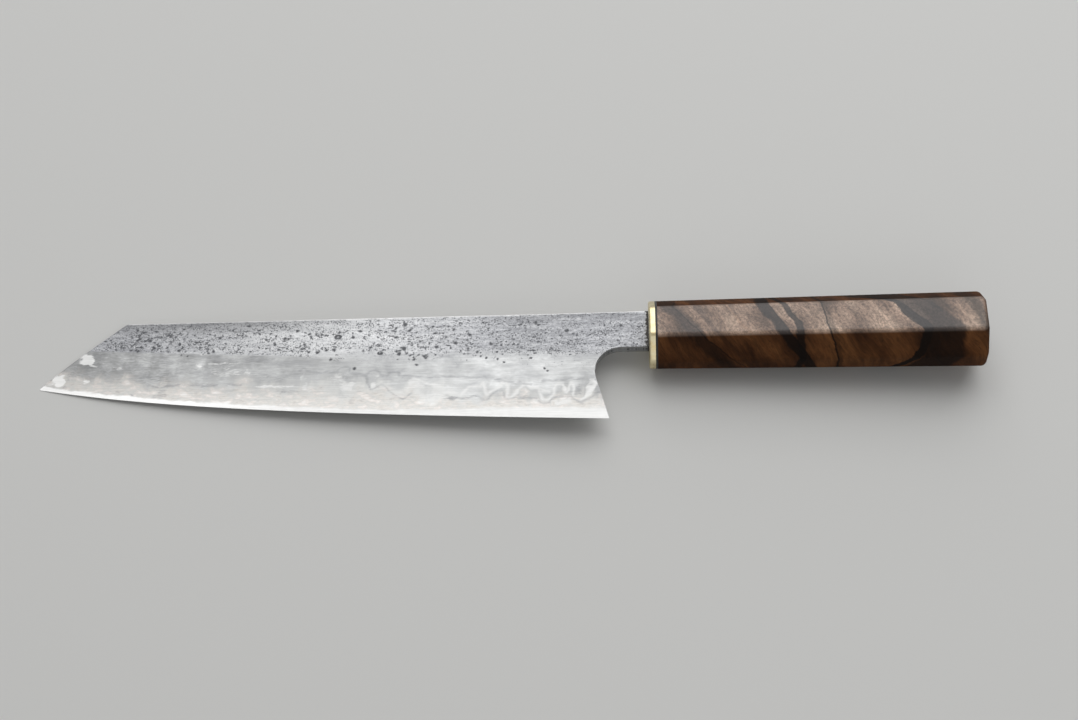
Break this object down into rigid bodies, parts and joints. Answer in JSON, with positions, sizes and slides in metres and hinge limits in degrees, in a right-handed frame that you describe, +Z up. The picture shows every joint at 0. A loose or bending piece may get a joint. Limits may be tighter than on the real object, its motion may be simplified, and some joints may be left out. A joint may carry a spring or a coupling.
{
  "type": "kiritsuke knife",
  "caption": "Japanese kitchen knife with an angled point, a laminated steel blade, a brass collar and an eight-sided wooden handle.",
  "frame": {"origin": "middle of the knife's bounding box, on the surface it lies on", "axes": "+X from the tip to the butt, +Y from the cutting edge to the spine, +Z up; the knife lies on its right side, on its tip and the collar's lower front edge"},
  "size_m": [0.348, 0.0488, 0.0268],
  "materials": {
    "core_steel": "bright, finely polished core steel",
    "cladding_steel": "satin grey with dark forging pits above and clouded polish below",
    "collar_brass": "polished pale brass",
    "liner_black": "black, flush with the wood",
    "figured_wood": "oiled brown wood with dark slanting streaks",
    "plain_wood": "plain pale dowel, hidden",
    "adhesive": "dark set adhesive"
  },
  "bodies": {
    "root": {"core_steel": "core_steel", "cladding_left": "cladding_steel", "cladding_right": "cladding_steel", "brass_collar": "collar_brass", "black_liner": "liner_black", "handle_body": "figured_wood", "handle_dowel": "plain_wood", "tang_adhesive": "adhesive"}
  },
  "joints": []
}
